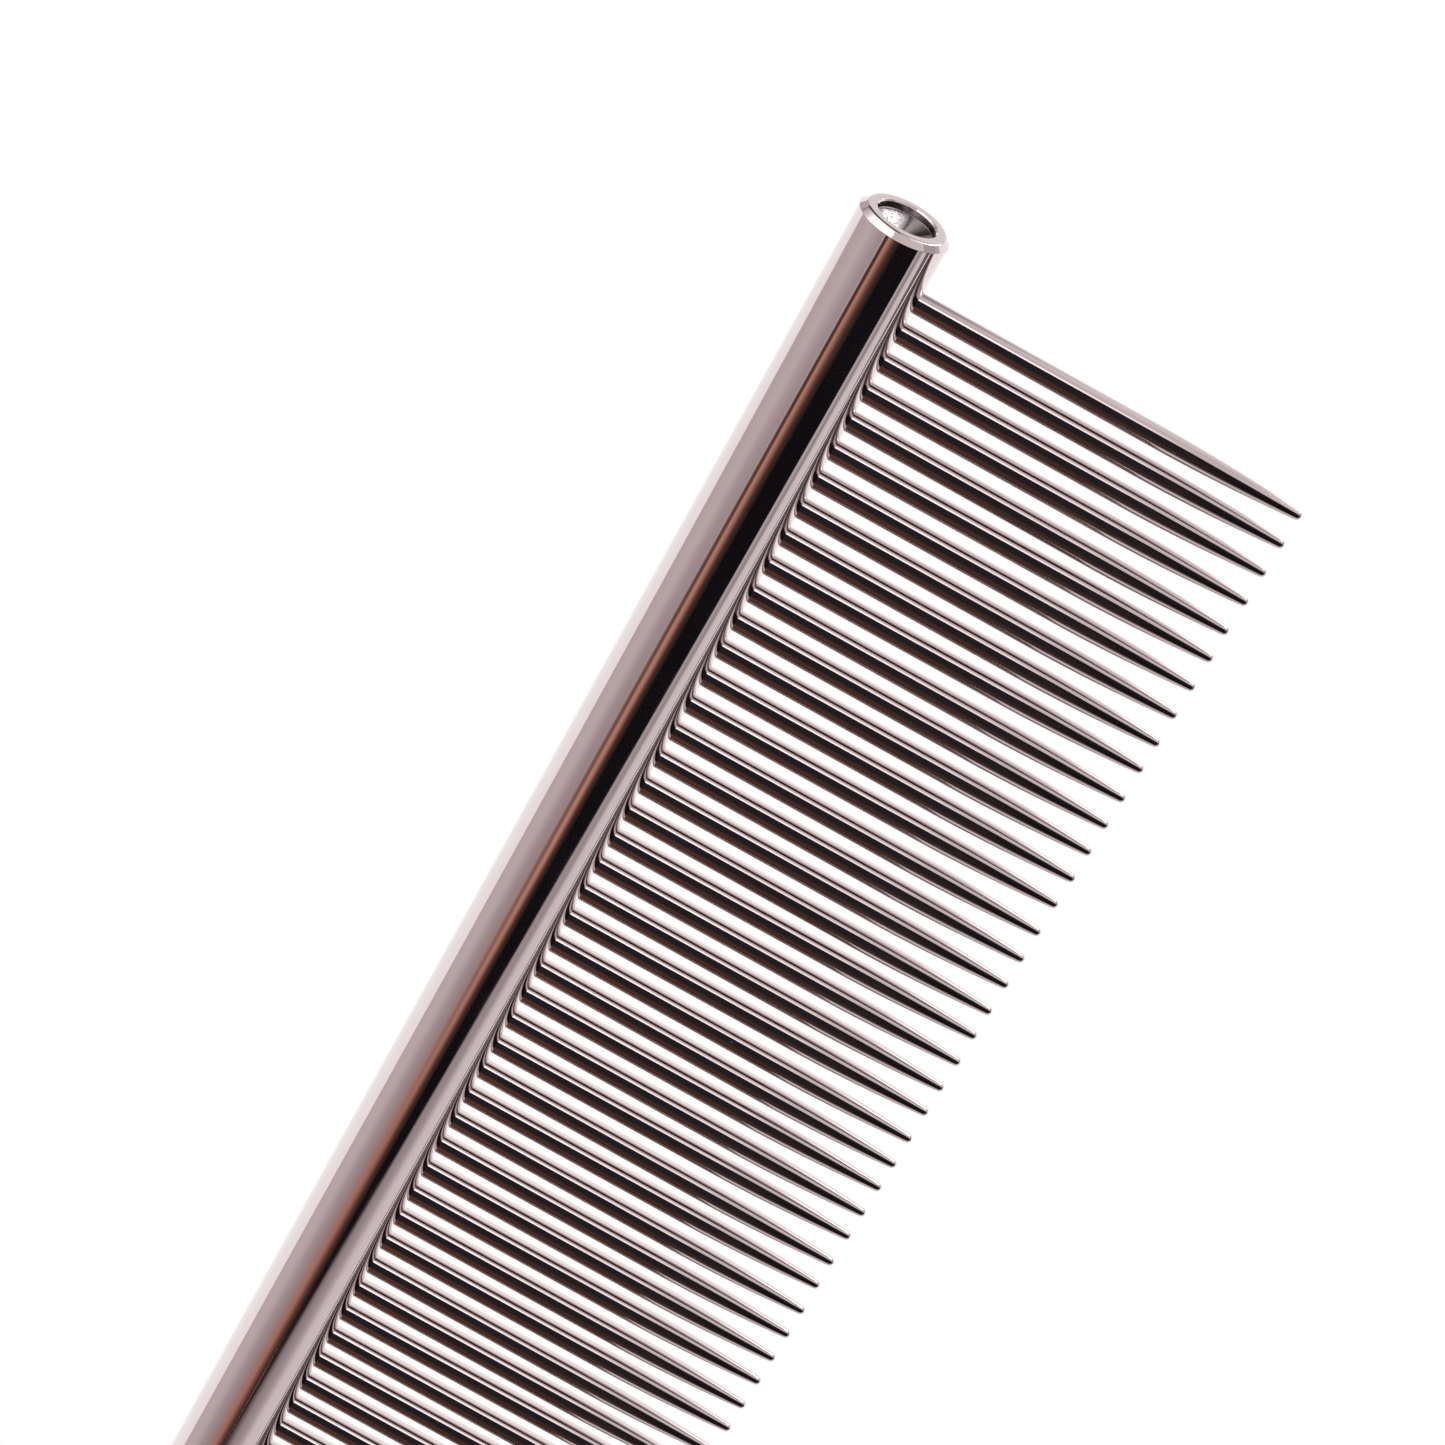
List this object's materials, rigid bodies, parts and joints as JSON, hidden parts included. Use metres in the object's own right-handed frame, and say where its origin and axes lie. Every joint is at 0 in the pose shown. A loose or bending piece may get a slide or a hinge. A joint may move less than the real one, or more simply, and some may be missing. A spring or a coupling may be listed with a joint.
{
  "type": "steel grooming comb",
  "caption": "Steel grooming comb for pets: a solid round spine with one row of straight, tapered steel pins pressed into it.",
  "frame": {"origin": "on the axis of the round spine, half way along it", "axes": "+X runs along the spine, +Y points from the spine to the tips of the teeth, +Z is square to the row of teeth, so the comb lies flat"},
  "size_m": [0.1896, 0.0351, 0.0064],
  "materials": {
    "spine_steel": "polished and plated, mirror bright",
    "tooth_steel": "polished and plated, mirror bright"
  },
  "bodies": {
    "root": {"spine": "spine_steel", "tooth_01": "tooth_steel", "tooth_02": "tooth_steel", "tooth_03": "tooth_steel", "tooth_04": "tooth_steel", "tooth_05": "tooth_steel", "tooth_06": "tooth_steel", "tooth_07": "tooth_steel", "tooth_08": "tooth_steel", "tooth_09": "tooth_steel", "tooth_10": "tooth_steel", "tooth_11": "tooth_steel", "tooth_12": "tooth_steel", "tooth_13": "tooth_steel", "tooth_14": "tooth_steel", "tooth_15": "tooth_steel", "tooth_16": "tooth_steel", "tooth_17": "tooth_steel", "tooth_18": "tooth_steel", "tooth_19": "tooth_steel", "tooth_20": "tooth_steel", "tooth_21": "tooth_steel", "tooth_22": "tooth_steel", "tooth_23": "tooth_steel", "tooth_24": "tooth_steel", "tooth_25": "tooth_steel", "tooth_26": "tooth_steel", "tooth_27": "tooth_steel", "tooth_28": "tooth_steel", "tooth_29": "tooth_steel", "tooth_30": "tooth_steel", "tooth_31": "tooth_steel", "tooth_32": "tooth_steel", "tooth_33": "tooth_steel", "tooth_34": "tooth_steel", "tooth_35": "tooth_steel", "tooth_36": "tooth_steel", "tooth_37": "tooth_steel", "tooth_38": "tooth_steel", "tooth_39": "tooth_steel", "tooth_40": "tooth_steel", "tooth_41": "tooth_steel", "tooth_42": "tooth_steel", "teeth_43_44": "tooth_steel", "teeth_45_46": "tooth_steel", "teeth_47_48": "tooth_steel", "teeth_49_50": "tooth_steel", "teeth_51_52": "tooth_steel", "teeth_53_54": "tooth_steel", "teeth_55_56": "tooth_steel", "teeth_57_58": "tooth_steel", "teeth_59_60": "tooth_steel", "teeth_61_62": "tooth_steel", "teeth_63_64": "tooth_steel", "teeth_65_66": "tooth_steel", "teeth_67_68": "tooth_steel", "teeth_69_70": "tooth_steel", "teeth_71_72": "tooth_steel", "teeth_73_74": "tooth_steel", "teeth_75_76": "tooth_steel"}
  },
  "joints": []
}
